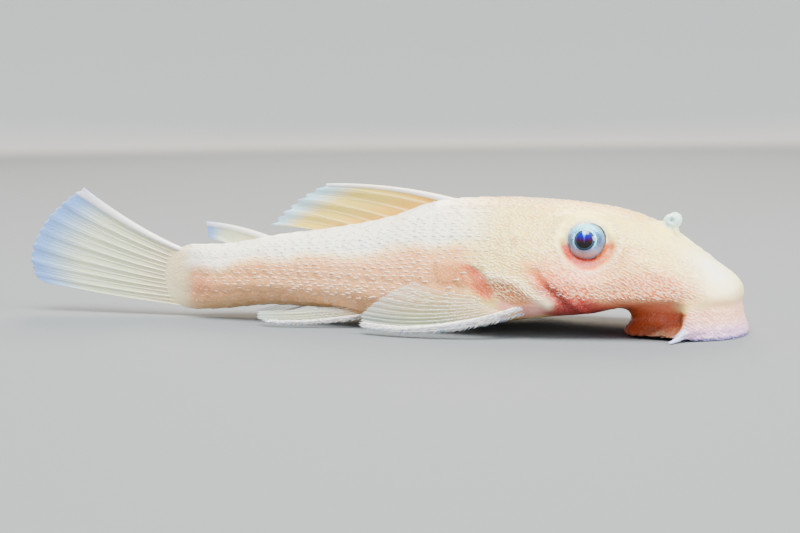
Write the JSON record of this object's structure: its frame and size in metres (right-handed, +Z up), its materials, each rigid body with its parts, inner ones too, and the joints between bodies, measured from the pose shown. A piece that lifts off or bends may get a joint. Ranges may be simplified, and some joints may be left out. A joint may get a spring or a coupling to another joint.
{
  "type": "bristlenose pleco",
  "caption": "Young pale blue-eyed armoured suckermouth catfish at life size, resting on its sucker mouth and paired fins with its fins half folded.",
  "frame": {"origin": "on the floor, under the middle of the bounding box, on the fish's plane of symmetry", "axes": "+X towards the snout, +Y towards the fish's left side, +Z up"},
  "size_m": [0.0472, 0.0136, 0.0086],
  "materials": {
    "skin": "satin",
    "fin": "satin",
    "lips": "satin",
    "eye": "gloss"
  },
  "bodies": {
    "root": {"head": "skin", "trunk": "skin", "tail": "skin", "mouth": "lips", "barbel_right": "lips", "barbel_left": "lips", "nostril_hood_right": "lips", "nostril_hood_left": "lips", "eye_right": "eye", "eye_left": "eye", "dorsal_fin": "fin", "adipose_fin": "fin", "caudal_fin": "fin", "anal_fin": "fin", "pectoral_fin_right": "fin", "pectoral_fin_left": "fin", "pelvic_fin_right": "fin", "pelvic_fin_left": "fin"}
  },
  "joints": []
}
